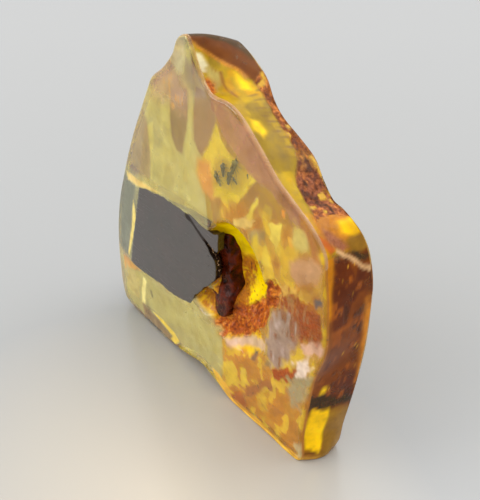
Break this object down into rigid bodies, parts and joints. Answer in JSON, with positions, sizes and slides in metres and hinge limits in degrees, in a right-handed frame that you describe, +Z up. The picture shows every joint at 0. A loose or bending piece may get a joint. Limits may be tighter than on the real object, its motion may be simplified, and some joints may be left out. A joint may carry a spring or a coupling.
{
  "type": "insect in amber",
  "caption": "Polished slab of golden amber standing on its lower edge, a dark beetle's remains ground flush with its face above a natural pit",
  "frame": {"origin": "on the ground, under the middle of the slab's bounding box", "axes": "+Z up, -Y out of the polished face, +X along the base toward the end with the pit"},
  "size_m": [0.0406, 0.0082, 0.0418],
  "materials": {
    "amber": "clear golden amber, polished, with rough orange-brown crust round the edge and on the back",
    "wing_case": "black-brown horny shell, ground flat and polished",
    "abdomen": "dark red-brown shell, slightly glossy"
  },
  "bodies": {
    "root": {"amber": "amber", "large_wing_case": "wing_case", "split_wing_case": "wing_case", "abdomen": "abdomen"}
  },
  "joints": []
}
